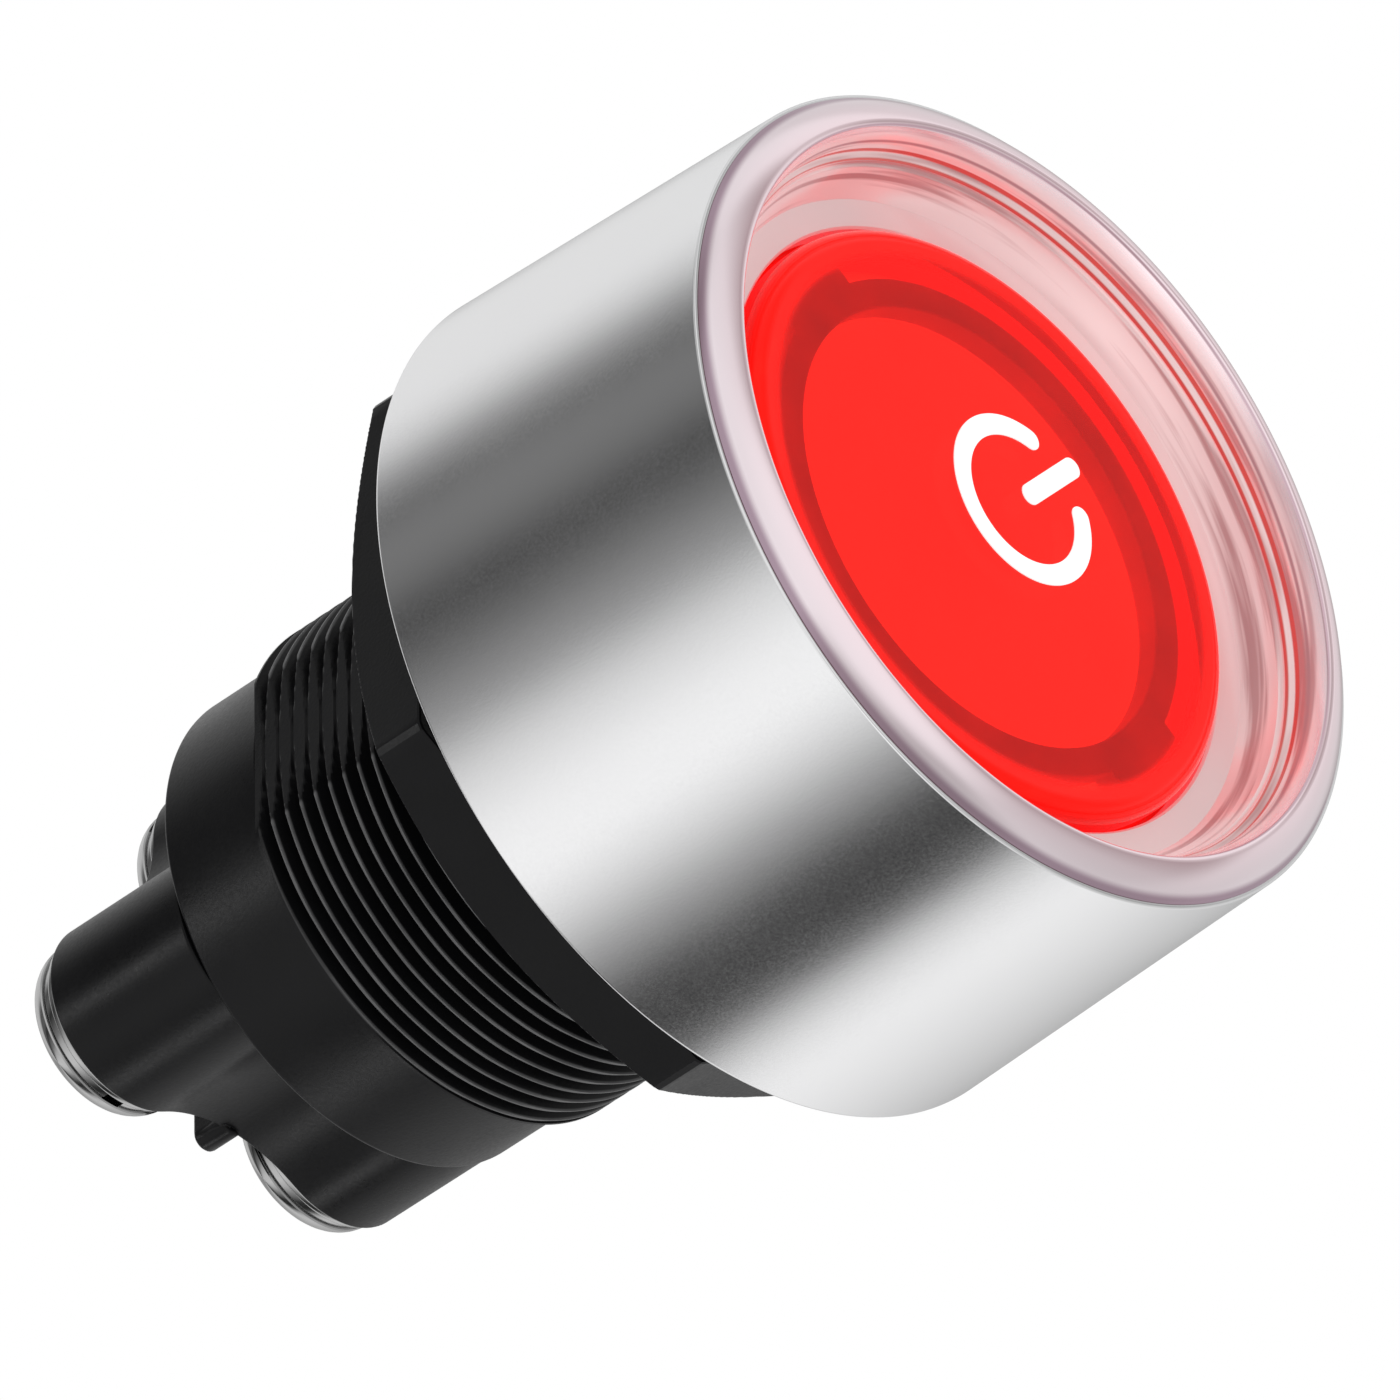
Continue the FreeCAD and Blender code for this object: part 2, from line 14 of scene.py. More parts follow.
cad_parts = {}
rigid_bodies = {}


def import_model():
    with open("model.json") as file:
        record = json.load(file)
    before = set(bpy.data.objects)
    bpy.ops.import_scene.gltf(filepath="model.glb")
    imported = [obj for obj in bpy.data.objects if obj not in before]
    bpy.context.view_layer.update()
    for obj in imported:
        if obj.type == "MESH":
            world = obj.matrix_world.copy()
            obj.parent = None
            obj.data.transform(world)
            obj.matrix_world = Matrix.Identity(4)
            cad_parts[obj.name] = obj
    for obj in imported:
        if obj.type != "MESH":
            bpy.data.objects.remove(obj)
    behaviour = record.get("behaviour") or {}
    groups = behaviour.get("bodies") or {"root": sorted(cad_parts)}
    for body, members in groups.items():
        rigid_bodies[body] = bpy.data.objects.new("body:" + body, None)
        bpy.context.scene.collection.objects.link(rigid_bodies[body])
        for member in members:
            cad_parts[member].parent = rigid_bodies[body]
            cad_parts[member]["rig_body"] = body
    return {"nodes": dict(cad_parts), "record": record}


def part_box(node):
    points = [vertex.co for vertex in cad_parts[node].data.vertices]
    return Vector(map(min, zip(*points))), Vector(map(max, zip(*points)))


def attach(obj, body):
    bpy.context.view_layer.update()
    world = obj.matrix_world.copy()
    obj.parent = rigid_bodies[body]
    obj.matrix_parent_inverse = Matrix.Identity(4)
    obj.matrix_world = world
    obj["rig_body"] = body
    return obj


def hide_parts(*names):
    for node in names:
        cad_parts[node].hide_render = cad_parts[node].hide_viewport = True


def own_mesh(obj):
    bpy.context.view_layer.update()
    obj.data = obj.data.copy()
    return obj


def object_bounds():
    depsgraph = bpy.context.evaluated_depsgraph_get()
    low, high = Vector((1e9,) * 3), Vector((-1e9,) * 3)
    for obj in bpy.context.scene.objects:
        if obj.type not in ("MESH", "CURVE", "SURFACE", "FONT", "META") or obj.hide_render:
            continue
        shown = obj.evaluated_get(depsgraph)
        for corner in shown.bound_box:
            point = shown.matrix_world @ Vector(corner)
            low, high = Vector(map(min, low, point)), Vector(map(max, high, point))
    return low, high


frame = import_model()
cad_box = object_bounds()
NODES = frame["nodes"]
MM = 0.001
TAU = math.tau


# ---- sizes, read from the frame where it has them (mm) -----------------------------------
def reach(node):
    """Largest x, lowest z and highest z of a CAD node."""
    low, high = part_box(node)
    return high.x / MM, low.z / MM, high.z / MM


SLEEVE_R, SLEEVE_REAR, SLEEVE_TOP = reach("bezel_sleeve")
SLEEVE_TAPER = math.tan(math.radians(1.8))
SLEEVE_BORE = 17.1
SLEEVE_EDGES = (0.1, 0.18, 0.12, 0.02)          # rounding of its four edges
TRIM_SKIRT_R, TRIM_UNDERSIDE = 17.05, reach("trim_ring")[1]
FLOOR_Z = TRIM_UNDERSIDE + 1.0                  # flat floor of the recess
LIP_FOOT, LIP_SHOULDER = (17.3, SLEEVE_TOP + 0.02), (16.75, 17.55)
LIP_CROWN, LIP_INNER, FLANK_TOP = (15.98, 17.95), (15.78, 17.94), (15.64, 17.8)
UPPER_STEP = [(15.35, 17.07), (15.33, 17.0), (15.31, 16.93)]
LOWER_STEP = [(15.3, 16.5), (15.28, 16.45), (15.07, 16.315), (15.05, 16.29)]
BOWL_LIP, BOWL_TURN, BOWL_TOP = (15.05, 16.14), (14.99, 16.01), (14.9, 15.92)
BOWL_MIDDLE, BOWL_FOOT = (14.6, 15.2), (14.2, FLOOR_Z)
# painted reflections of the red cap on the trim ring's steps: height and half width of each
CAP_REFLECTION_LINES = ((16.58, 0.13), (16.24, 0.1))       # height and half width
# painted shade lines: a height under the lip in the recess, and a radius on the lip's inner side
UNDER_LIP_SHADE_Z, INNER_LIP_SHADE_R = 17.13, 15.7
CAP_FLANGE_R, CAP_BOTTOM, CAP_TOP = reach("lens_cap")
CAP_R = 12.75
CAP_WALL = 1.2
CAP_GAP = 0.2
LEGEND_Y = 2.5
LEGEND_BOTTOM, LEGEND_TOP = reach("legend")[1:]
RING_BOTTOM, RING_TOP = reach("lens_ring")[1:]
DIFFUSER_R, DIFFUSER_BOTTOM, DIFFUSER_TOP = reach("diffuser")
CUP_R, BARREL_END, CUP_TOP = reach("barrel")
BARREL_R, BARREL_BORE = 10.35, 9.0
FLANGE_BOTTOM, FLANGE_TOP = 0.9, 2.4
THREAD_R, THREAD_ROOT, THREAD_PITCH, THREAD_END = 11.0, 10.3, 0.8, -14.7
THREAD_COLLAR = 0.12
THREAD_CREST, THREAD_VALLEY = 0.07, 0.05        # half widths, as shares of the pitch
FLAT_DISTANCE = 10.36
NUT_BOTTOM, NUT_TOP = reach("hex_nut")[1:]
NUT_APOTHEM = 14.72
NUT_CLEARANCE, NUT_CORNER_LOSS, NUT_CHAMFER = 0.08, 0.1, math.radians(30)
CLOCKING = math.radians(12)
TERMINALS = [CLOCKING + i * TAU / 3 for i in range(3)]
FLAT_ANGLE = CLOCKING + math.radians(210)
BOSS_R, BOSS_CENTRE, FILLET_R = 4.03, 6.35, 7.09
BARRIER_END, SPIGOT_TOP = reach("terminal_base")[1:]
BASE_TOP = BARREL_END - 0.05
WASHER_BOTTOM, BASE_END = reach("flat_washer_1")[1:]
HEAD_TOP = reach("spring_washer_1")[1]
SCREW_END, SCREW_TIP = reach("terminal_screw_1")[1:]
INSERT_HOLE_R, INSERT_HOLE_TOP = 2.95, -21.5
SPIGOT_R, SPIGOT_ROOT_R = 8.9, 5.2              # the root is clear of the lobes' waists
BARRIER_HALF, BARRIER_LENGTH = 0.6, 6.0
FLAT_WASHER_R, FLAT_WASHER_BORE = 3.85, 2.15
SPRING_WASHER_R, SPRING_WASHER_HALF, SPRING_WASHER_GAP = 2.87, 0.72, 0.12
SCREW_HEAD_R, SCREW_SHANK_R = 3.7, 2.0
CROSS_ARM, CROSS_HALF, CROSS_DEPTH, CROSS_TURN = 1.55, 0.35, 1.1, math.radians(40)
LEGEND_OUTER, LEGEND_INNER, LEGEND_GAP = 3.7, 2.8, math.radians(33)
RING_R, RING_BORE, EAR_R, EAR_HALF = 10.7, 9.45, 11.45, 2.5
EAR_TURN = CLOCKING - math.radians(7)
TURN_STEPS = 240
BIG_TURN_STEPS = 360                            # for the bezel's two large rings
SMALL_TURN_STEPS = 128                          # for screws and washers


# ---- outlines ----------------------------------------------------------------------------
def arc(start, through, end, steps=10):
    """Points after start, up to end, on the circle through three points."""
    (ax, ay), (bx, by), (cx, cy) = start, through, end
    d = 2 * (ax * (by - cy) + bx * (cy - ay) + cx * (ay - by))
    a2, b2, c2 = ax * ax + ay * ay, bx * bx + by * by, cx * cx + cy * cy
    ux = (a2 * (by - cy) + b2 * (cy - ay) + c2 * (ay - by)) / d
    uy = (a2 * (cx - bx) + b2 * (ax - cx) + c2 * (bx - ax)) / d
    radius = math.hypot(ax - ux, ay - uy)
    first, middle, last = (math.atan2(y - uy, x - ux) for x, y in (start, through, end))
    sweep = (last - first) % TAU
    if (middle - first) % TAU > sweep:
        sweep -= TAU
    angles = [first + sweep * (i + 1) / steps for i in range(steps)]
    return [(ux + radius * math.cos(a), uy + radius * math.sin(a)) for a in angles]


def rounded(points, steps=5):
    """Closed outline in which each corner given as (x, y, radius) is rounded off."""
    result = []
    for i, point in enumerate(points):
        here = Vector(point[:2])
        if len(point) == 2:
            result.append(tuple(here))
            continue
        radius = point[2]
        to_before = (Vector(points[i - 1][:2]) - here).normalized()
        to_after = (Vector(points[(i + 1) % len(points)][:2]) - here).normalized()
        half = to_before.angle(to_after) / 2
        start = here + to_before * radius / math.tan(half)
        end = here + to_after * radius / math.tan(half)
        centre = here + (to_before + to_after).normalized() * radius / math.sin(half)
        middle = centre + (here - centre).normalized() * radius
        result.append(tuple(start))
        result += arc(tuple(start), tuple(middle), tuple(end), steps)
    return result


def polar(radius, angle, centre=(0, 0)):
    return (centre[0] + radius * math.cos(angle), centre[1] + radius * math.sin(angle))


def circle(radius, centre=(0, 0), steps=96):
    return [polar(radius, TAU * i / steps, centre) for i in range(steps)]


# ---- meshes ------------------------------------------------------------------------------
def to_object(name, bm, sharp=32):
    """Closes a mesh made in millimetres into an object in metres, smooth between its edges."""
    bmesh.ops.remove_doubles(bm, verts=bm.verts, dist=1e-5)
    bmesh.ops.recalc_face_normals(bm, faces=bm.faces)
    bmesh.ops.scale(bm, vec=(MM, MM, MM), verts=bm.verts)
    mesh = bpy.data.meshes.new(name)
    bm.to_mesh(mesh)
    bm.free()
    mesh.polygons.foreach_set("use_smooth", [True] * len(mesh.polygons))
    mesh.set_sharp_from_angle(angle=math.radians(sharp))
    obj = bpy.data.objects.new(name, mesh)
    bpy.context.scene.collection.objects.link(obj)
    weighted = obj.modifiers.new("even_normals", "WEIGHTED_NORMAL")
    weighted.keep_sharp = True
    weighted.weight = 80
    return obj


def add_rings(bm, rings):
    """Skins a list of rings of equal length, in which a ring of one point is a pole."""
    made = [[bm.verts.new(p) for p in ring] for ring in rings]
    for low, high in zip(made, made[1:]):
        count = max(len(low), len(high))
        if count == 1:
            continue
        for i in range(count):
            j = (i + 1) % count
            corners = []
            for ring, index in ((low, i), (low, j), (high, j), (high, i)):
                vertex = ring[index] if len(ring) > 1 else ring[0]
                if vertex not in corners:
                    corners.append(vertex)
            bm.faces.new(corners)
    return made


def add_lathe(bm, outline, centre=(0, 0), steps=TURN_STEPS):
    """Turns an outline of (radius, z) points; it is closed unless both ends are on the axis."""
    closed = outline[0][0] > 1e-6 or outline[-1][0] > 1e-6
    rings = []
    for radius, z in outline + outline[:1] * closed:
        if radius < 1e-6:
            rings.append([(centre[0], centre[1], z)])
        else:
            rings.append([(*polar(radius, TAU * i / steps, centre), z) for i in range(steps)])
    add_rings(bm, rings)


def lathe(name, outline, centre=(0, 0), steps=TURN_STEPS):
    bm = bmesh.new()
    add_lathe(bm, outline, centre, steps)
    return to_object(name, bm)


def add_plate(bm, outlines, bottom, top, bevel=0.0):
    """Flat plate between two heights, from outer outlines and their holes, edges rounded."""
    curve = bpy.data.curves.new("plate", "CURVE")
    curve.dimensions = "2D"
    curve.fill_mode = "BOTH"
    curve.extrude = (top - bottom) / 2 - bevel
    curve.bevel_depth = bevel
    curve.offset = -bevel
    curve.bevel_resolution = 2
    for outline in outlines:
        spline = curve.splines.new("POLY")
        spline.points.add(len(outline) - 1)
        for point, (x, y) in zip(spline.points, outline):
            point.co = (x, y, 0, 1)
        spline.use_cyclic_u = True
    holder = bpy.data.objects.new("plate", curve)
    bpy.context.scene.collection.objects.link(holder)
    mesh = bpy.data.meshes.new_from_object(holder)
    mesh.transform(Matrix.Translation((0, 0, (top + bottom) / 2)))
    bm.from_mesh(mesh)
    bpy.data.objects.remove(holder)
    bpy.data.curves.remove(curve)
    bpy.data.meshes.remove(mesh)


def plate(name, outlines, bottom, top, bevel=0.0):
    bm = bmesh.new()
    add_plate(bm, outlines, bottom, top, bevel)
    return to_object(name, bm)


def add_sweep(bm, path, section):
    """Carries a closed section of (outwards, up) points along a path of (radius, angle, z)."""
    rings = []
    for radius, angle, z in path:
        rings.append([(*polar(radius + out, angle), z + up) for out, up in section])
    made = add_rings(bm, rings)
    for ring in (made[0], made[-1]):
        bm.faces.new(ring)


# ---- materials ---------------------------------------------------------------------------
class Surface:
    """A Principled material and short ways to add procedural detail to it."""

    def __init__(self, name, colour, metallic=0.0, roughness=0.5):
        self.material = bpy.data.materials.new(name)
        self.material.use_nodes = True
        self.nodes = self.material.node_tree.nodes
        self.links = self.material.node_tree.links
        self.shader = self.nodes["Principled BSDF"]
        self.place = self.add("ShaderNodeTexCoord").outputs["Object"]
        self.set("Base Color", (*colour, 1))
        self.set("Metallic", metallic)
        self.set("Roughness", roughness)

    def set(self, socket, value):
        self.shader.inputs[socket].default_value = value

    def add(self, kind, inputs=(), **settings):
        node = self.nodes.new(kind)
        for key, value in settings.items():
            setattr(node, key, value)
        for socket, value in dict(inputs).items():
            if isinstance(value, bpy.types.NodeSocket):
                self.links.new(value, node.inputs[socket])
            else:
                node.inputs[socket].default_value = value
        return node

    def link(self, value, socket):
        self.links.new(value, self.shader.inputs[socket])

    def noise(self, per_mm, detail=4, stretch=(1, 1, 1)):
        """Noise with per_mm cells to the millimetre, optionally stretched along an axis."""
        mapped = self.add("ShaderNodeMapping", {"Vector": self.place, "Scale": stretch})
        noise = self.add("ShaderNodeTexNoise", {
            "Vector": mapped.outputs[0], "Scale": per_mm / MM, "Detail": detail})
        return noise.outputs["Fac"]

    def range(self, value, low, high, start=0.3, end=0.7, smooth=False):
        node = self.add("ShaderNodeMapRange", {
            "Value": value, "From Min": start, "From Max": end, "To Min": low, "To Max": high})
        if smooth:
            node.interpolation_type = "SMOOTHSTEP"
        return node.outputs[0]

    def sum(self, first, second, operation="ADD"):
        """The sum of two values, or another operation on them."""
        return self.add("ShaderNodeMath", {0: first, 1: second}, operation=operation).outputs[0]

    def mix(self, share, first, second):
        node = self.add("ShaderNodeMix", {"Factor": share}, data_type="RGBA")
        for socket, value in ((node.inputs[6], first), (node.inputs[7], second)):
            if isinstance(value, bpy.types.NodeSocket):
                self.links.new(value, socket)
            else:
                socket.default_value = (*value, 1)
        return node.outputs[2]

    def bump(self, height, micrometres):
        bump = self.add("ShaderNodeBump", {
            "Height": height, "Distance": micrometres * 1e-6, "Strength": 1.0})
        self.link(bump.outputs[0], "Normal")

    def radius(self):
        """Distance from the Z axis, in millimetres."""
        parts = self.add("ShaderNodeSeparateXYZ", {0: self.place})
        squares = [self.sum(parts.outputs[i], parts.outputs[i], "MULTIPLY") for i in (0, 1)]
        root = self.sum(self.sum(*squares), 0.5, "POWER")
        return self.sum(root, 1 / MM, "MULTIPLY")

    def height(self):
        """Height in millimetres."""
        parts = self.add("ShaderNodeSeparateXYZ", {0: self.place})
        return self.sum(parts.outputs[2], 1 / MM, "MULTIPLY")

    def distance(self, value, level):
        """How far a radius or a height is from a level."""
        return self.sum(self.sum(value, level, "SUBTRACT"), 0, "ABSOLUTE")


def satin_metal():
    """Fine blasted satin finish with a very light turned grain."""
    s = Surface("satin_metal", (0.9, 0.9, 0.91), 1, 0.2)
    cloud = s.noise(0.12, 3)
    grain = s.noise(9, 5)
    turned = s.noise(5, 3, (0.03, 0.03, 1))
    s.link(s.mix(cloud, (0.88, 0.88, 0.89), (0.93, 0.93, 0.935)), "Base Color")
    s.link(s.sum(s.range(grain, 0.17, 0.25), s.range(cloud, -0.015, 0.015)), "Roughness")
    s.bump(s.sum(s.sum(turned, 0.4, "MULTIPLY"), grain), 1.6)
    return s.material


def polished_metal():
    """Rolled trim of bright metal, duller in the recess; the red cap's light is painted in as a
    faint pink outside, a stronger pink in the recess and a faint pink glow.
    """
    s = Surface("polished_metal", (0.93, 0.89, 0.9), 1, 0.16)
    s.set("Anisotropic", 0.6)
    s.set("Anisotropic Rotation", 0.25)
    round_z = s.add("ShaderNodeTangent", direction_type="RADIAL", axis="Z")
    s.link(round_z.outputs[0], "Tangent")
    radius, height = s.radius(), s.height()
    inward = s.range(radius, 1, 0, UPPER_STEP[0][0], FLANK_TOP[0] + 0.11, smooth=True)
    # painted reflection streaks, dark and pale pink, run round the recess, but not over its floor
    painted_streak = s.range(s.noise(0.07, 3, (1, 1, 30)), 0.1, 1, 0.35, 0.51, smooth=True)
    over_floor = s.range(height, 1, 0, FLOOR_Z + 0.05, FLOOR_Z + 0.35)
    painted_streak = s.sum(painted_streak, over_floor, "MAXIMUM")
    recess = s.mix(painted_streak, (0.42, 0.25, 0.24), (0.95, 0.85, 0.83))
    # painted reflections of the red cap, a red line on each step, and a painted grey shade line
    # under the lip
    for line, width in CAP_REFLECTION_LINES:
        cap_reflection = s.range(s.distance(height, line), 1, 0, width * 0.6, width)
        recess = s.mix(cap_reflection, recess, (0.62, 0.06, 0.02))
    under_lip_shade = s.range(s.distance(height, UNDER_LIP_SHADE_Z), 1, 0, 0.03, 0.09)
    recess = s.mix(under_lip_shade, recess, (0.4, 0.27, 0.28))
    # painted shade: a dark line on the inner side of the lip, and darkening where the lip meets the
    # sleeve
    inner_lip_shade = s.range(s.distance(radius, INNER_LIP_SHADE_R), 0.7, 0, 0.02, 0.06)
    foot_shade = s.range(radius, 0, 1, LIP_FOOT[0] - 0.35, LIP_FOOT[0] - 0.1, smooth=True)
    outside = s.mix(s.sum(inner_lip_shade, foot_shade, "MAXIMUM"), (0.93, 0.86, 0.9), (0.42, 0.33, 0.4))
    s.link(s.mix(inward, outside, recess), "Base Color")
    s.link(s.range(inward, 1, 0.24, 0, 1), "Metallic")
    # painted light: a faint pink glow for the red cap's light, strongest in the recess and fading
    # towards the lip's foot
    glow = s.range(radius, 0.15, 0.04, 15.4, LIP_FOOT[0], smooth=True)
    s.link(s.sum(glow, s.range(s.noise(0.1, 2), 0.85, 1.15), "MULTIPLY"), "Emission Strength")
    s.set("Emission Color", (1, 0.3, 0.36, 1))
    s.link(s.range(s.noise(0.4, 3), 0.1, 0.15), "Roughness")
    s.bump(s.noise(0.25, 2), 1.0)
    return s.material


def black_plastic(name="black_plastic", highlight_radius=None):
    """Moulded black thermoplastic, lightly sparked; a thread's crests carry a painted highlight,
    paler in patches.
    """
    s = Surface(name, (0.0045, 0.0045, 0.005), 0, 0.34)
    cloud = s.noise(0.25, 4)
    spark = s.noise(7, 3)
    colour = s.mix(cloud, (0.003, 0.003, 0.0035), (0.006, 0.006, 0.0066))
    # painted highlight: the thread's crests are painted paler in patches, above its plain end
    if highlight_radius:
        radius = s.radius()
        crest_highlight = s.sum(s.range(radius, 0, 1, highlight_radius - 0.1, highlight_radius - 0.03),
                       s.range(radius, 1, 0, highlight_radius + 0.1, highlight_radius + 0.2), "MULTIPLY")
        patchy_highlight = s.sum(crest_highlight, s.range(s.noise(0.8, 3), 0.7, 1.0), "MULTIPLY")
        above = s.range(s.height(), 0, 1, THREAD_END + 0.15, THREAD_END + 0.3)
        patchy_highlight = s.sum(patchy_highlight, above, "MULTIPLY")
        colour = s.mix(patchy_highlight, colour, (0.13, 0.13, 0.132))
    s.link(colour, "Base Color")
    s.link(s.sum(s.range(spark, 0.29, 0.38), s.range(cloud, -0.03, 0.03)), "Roughness")
    s.set("Specular IOR Level", 0.16)
    s.bump(spark, 5.0)
    return s.material


def dull_metal(name, colour, roughness, mottle=0.12, scratches=2.0):
    """Plated or stamped metal: a soft mottle, fine scratches and a rolled grain."""
    s = Surface(name, colour, 1, roughness)
    cloud = s.noise(0.6, 4)
    scratch = s.noise(3, 3, (1, 0.08, 0.08))
    darker = tuple(c * (1 - mottle) for c in colour)
    s.link(s.mix(cloud, darker, colour), "Base Color")
    s.link(s.sum(s.range(scratch, roughness - 0.06, roughness + 0.06), s.range(cloud, -0.04, 0.04)),
           "Roughness")
    s.bump(scratch, scratches)
    return s.material


def moulded(name, colour, roughness, bump=6.0, variation=0.1):
    """Plain moulded plastic, rubber or board with a fine skin."""
    s = Surface(name, colour, 0, roughness)
    cloud = s.noise(0.5, 4)
    skin = s.noise(6, 3)
    darker = tuple(c * (1 - variation) for c in colour)
    s.link(s.mix(cloud, darker, colour), "Base Color")
    s.link(s.range(skin, roughness - 0.06, roughness + 0.06), "Roughness")
    s.bump(skin, bump)
    return s.material


def red_lens():
    """Red cap lit through from below: clear over the middle, its thick rim glowing solid."""
    s = Surface("red_lens", (0.95, 0.014, 0.008), 0, 0.06)
    s.set("IOR", 1.45)
    s.set("Specular Tint", (1, 0.12, 0.08, 1))
    radius = s.radius()
    haze = s.noise(0.2, 3)
    rim = s.range(radius, 0, 1, 11.15, 11.75, smooth=True)
    # painted shade at the outer edge: the glow fades there and the side wall is painted a darker
    # red
    edge = s.range(radius, 1, 0.42, 12.25, 12.7, smooth=True)
    side = s.range(radius, 0, 1, 12.45, 12.72, smooth=True)
    s.link(s.mix(side, (0.95, 0.014, 0.008), (0.7, 0.008, 0.006)), "Base Color")
    s.link(s.range(rim, 0.85, 0.3, 0, 1), "Transmission Weight")
    glow = s.sum(s.sum(rim, edge, "MULTIPLY"), s.range(haze, 0.9, 1.1), "MULTIPLY")
    s.link(s.sum(glow, 0.62, "MULTIPLY"), "Emission Strength")
    s.set("Emission Color", (1, 0.006, 0.004, 1))
    s.link(s.range(haze, 0.05, 0.09), "Roughness")
    s.bump(s.noise(0.3, 2), 2.0)
    return s.material


def lit_diffuser():
    """White diffuser lit from below: dimmer over the lamp post, brightest half-way out."""
    s = Surface("white_plastic", (0.8, 0.8, 0.78), 0, 0.5)
    radius = s.radius()
    middle = s.range(radius, 0.8, 1, 0.5, 5.5, smooth=True)
    outer = s.range(radius, 1, 0.25, 10.9, 11.5, smooth=True)
    cloud = s.range(s.noise(0.18, 3), 0.9, 1.1)
    share = s.sum(s.sum(middle, outer, "MULTIPLY"), cloud, "MULTIPLY")
    s.link(s.mix(share, (0.2, 0.03, 0.03), (1.3, 1.1, 0.9)), "Emission Color")
    s.set("Emission Strength", 1.0)
    s.bump(s.noise(2, 3), 6.0)
    return s.material


def smoked_ring():
    """Smoked red ring that the glow only half reaches."""
    s = Surface("ring_plastic", (0.35, 0.12, 0.1), 0, 0.5)
    patch = s.noise(0.35, 4)
    s.link(s.range(patch, 0.3, 0.46), "Emission Strength")
    s.set("Emission Color", (1, 0.6, 0.5, 1))
    s.bump(s.noise(3, 3), 8.0)
    return s.material


def printed_white():
    """Opaque white ink, a little lit from below."""
    s = Surface("white_print", (0.92, 0.9, 0.9), 0, 0.35)
    grain = s.noise(8, 3)
    s.link(s.range(grain, 0.3, 0.45), "Roughness")
    s.set("Emission Color", (1, 0.93, 0.92, 1))
    s.link(s.range(s.noise(0.5, 2), 0.5, 0.56), "Emission Strength")
    s.bump(grain, 2.0)
    return s.material


def lamp_chip():
    """Surface-mounted lamp: pale body, glowing phosphor face."""
    s = Surface("lamp_chip", (0.85, 0.8, 0.6), 0, 0.4)
    face = s.range(s.height(), 0, 1, 8.6, 8.75)
    s.link(s.mix(face, (0.85, 0.85, 0.82), (0.95, 0.75, 0.2)), "Base Color")
    s.link(s.sum(face, s.range(s.noise(2, 2), 1.2, 1.6), "MULTIPLY"), "Emission Strength")
    s.set("Emission Color", (1, 0.25, 0.15, 1))
    s.bump(s.noise(5, 2), 5.0)
    return s.material


MATERIALS = {
    "satin_metal": satin_metal(),
    "polished_metal": polished_metal(),
    "black_plastic": black_plastic(),
    "washer_metal": dull_metal("washer_metal", (0.55, 0.55, 0.54), 0.38),
    "black_rubber": moulded("black_rubber", (0.014, 0.014, 0.014), 0.7, 12, 0.25),
    "red_lens": red_lens(),
    "white_print": printed_white(),
    "ring_plastic": smoked_ring(),
    "white_plastic": lit_diffuser(),
    "grey_plastic": moulded("grey_plastic", (0.3, 0.31, 0.32), 0.45),
    "plated_screw": dull_metal("plated_screw", (0.5, 0.5, 0.5), 0.1, 0.06, 0.3),
    "brass": dull_metal("brass", (0.78, 0.57, 0.24), 0.28),
    "copper": dull_metal("copper", (0.78, 0.4, 0.25), 0.3),
    "silver": dull_metal("silver", (0.86, 0.85, 0.82), 0.22),
    "spring_steel": dull_metal("spring_steel", (0.5, 0.5, 0.5), 0.3),
    "circuit_board": moulded("circuit_board", (0.02, 0.16, 0.06), 0.4, 8, 0.35),
    "lamp_chip": lamp_chip(),
    "component_black": moulded("component_black", (0.02, 0.02, 0.02), 0.5),
    "wire_red": moulded("wire_red", (0.5, 0.02, 0.02), 0.4),
    "wire_black": moulded("wire_black", (0.02, 0.02, 0.02), 0.4),
}
BODY_OF = {n: o["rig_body"] for n, o in NODES.items()}
SLOT_OF = {s["node"]: s["material_slot"] for s in frame["record"]["subparts"]}


def dress(obj, slot, finish=None):
    obj.data.materials.clear()
    obj.data.materials.append(finish or MATERIALS[slot])


def stand_for(obj, node, finish=None):
    """The finished piece replaces a CAD node, with that node's body and material."""
    dress(obj, SLOT_OF[node], finish)
    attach(obj, BODY_OF[node])
    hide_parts(node)
    return obj


# ---- bezel -------------------------------------------------------------------------------
def bezel_sleeve():
    """Slightly tapered tube."""
    front_r = SLEEVE_R - SLEEVE_TOP * SLEEVE_TAPER
    corners = [(SLEEVE_BORE, SLEEVE_REAR), (SLEEVE_R, SLEEVE_REAR),
               (front_r, SLEEVE_TOP), (SLEEVE_BORE, SLEEVE_TOP)]
    outline = rounded([(*corner, edge) for corner, edge in zip(corners, SLEEVE_EDGES)])
    return lathe("bezel_sleeve_satin", outline, steps=BIG_TURN_STEPS)


def trim_ring():
    """Rolled lip, two sharp steps, a concave bowl and a flat floor with a round hole."""
    hole_r, edge, dish = CAP_R + CAP_GAP, 0.1, 0.01
    outline = [(TRIM_SKIRT_R, TRIM_UNDERSIDE), (TRIM_SKIRT_R, LIP_FOOT[1]), LIP_FOOT]
    outline += arc(LIP_FOOT, LIP_SHOULDER, LIP_CROWN, 24)
    outline += arc(LIP_CROWN, LIP_INNER, FLANK_TOP, 12)
    outline += UPPER_STEP + LOWER_STEP + [BOWL_LIP]
    outline += arc(BOWL_LIP, BOWL_TURN, BOWL_TOP, 8)
    outline += arc(BOWL_TOP, BOWL_MIDDLE, BOWL_FOOT, 20)
    outline += [(BOWL_FOOT[0] - 0.04, FLOOR_Z - dish), (hole_r + edge, FLOOR_Z - dish)]
    outline += [(hole_r, FLOOR_Z - edge), (hole_r, TRIM_UNDERSIDE)]
    return lathe("trim_ring_polished", outline, steps=BIG_TURN_STEPS)


